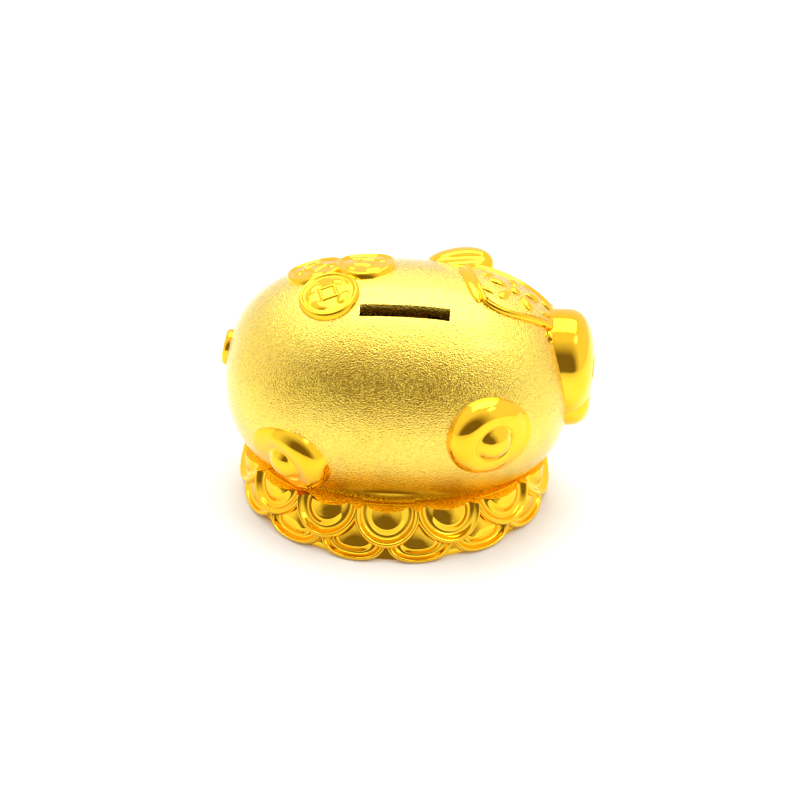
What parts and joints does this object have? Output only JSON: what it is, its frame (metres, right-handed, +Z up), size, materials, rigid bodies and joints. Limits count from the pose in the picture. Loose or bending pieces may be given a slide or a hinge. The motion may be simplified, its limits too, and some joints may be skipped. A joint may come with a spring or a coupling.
{
  "type": "piggy bank",
  "caption": "Hollow gilded ceramic pig money box lying on a heap of coins, with a coin slot in the back and a pull-out stopper underneath.",
  "frame": {"origin": "centre of the whole object's footprint box, on the surface it stands on", "axes": "+Z up, +X towards the pig's snout, +Y towards the pig's left side"},
  "size_m": [0.1488, 0.1142, 0.1003],
  "materials": {
    "frosted_gold": "fine sand-textured matte gold plating over ceramic",
    "polished_gold": "mirror-bright gold plating over glazed ceramic",
    "rubber": "matte black moulded rubber"
  },
  "bodies": {
    "bank": {"body_shell": "frosted_gold", "coin_base": "polished_gold", "lower_coin_01": "polished_gold", "upper_coin_01": "polished_gold", "lower_coin_02": "polished_gold", "upper_coin_02": "polished_gold", "lower_coin_03": "polished_gold", "upper_coin_03": "polished_gold", "lower_coin_04": "polished_gold", "upper_coin_04": "polished_gold", "lower_coin_05": "polished_gold", "upper_coin_05": "polished_gold", "lower_coin_06": "polished_gold", "upper_coin_06": "polished_gold", "lower_coin_07": "polished_gold", "upper_coin_07": "polished_gold", "lower_coin_08": "polished_gold", "upper_coin_08": "polished_gold", "lower_coin_09": "polished_gold", "upper_coin_09": "polished_gold", "lower_coin_10": "polished_gold", "upper_coin_10": "polished_gold", "lower_coin_11": "polished_gold", "upper_coin_11": "polished_gold", "lower_coin_12": "polished_gold", "upper_coin_12": "polished_gold", "lower_coin_13": "polished_gold", "upper_coin_13": "polished_gold", "lower_coin_14": "polished_gold", "upper_coin_14": "polished_gold", "snout": "polished_gold", "chin": "polished_gold", "eye_left": "polished_gold", "eye_right": "polished_gold", "ear_left": "polished_gold", "ear_right": "polished_gold", "forehead_plaque": "polished_gold", "plaque_flower": "polished_gold", "back_coin_right": "polished_gold", "back_coin_rear": "polished_gold", "back_coin_front": "polished_gold", "leg_front_left": "polished_gold", "leg_front_right": "polished_gold", "leg_rear_left": "polished_gold", "leg_rear_right": "polished_gold", "tail": "polished_gold"},
    "plug": {"stopper": "rubber"}
  },
  "joints": [
    {"name": "stopper_pull", "type": "slide", "parent": "bank", "child": "plug", "axis": [0, 0, -1], "range_m": [0, 0.025]}
  ]
}
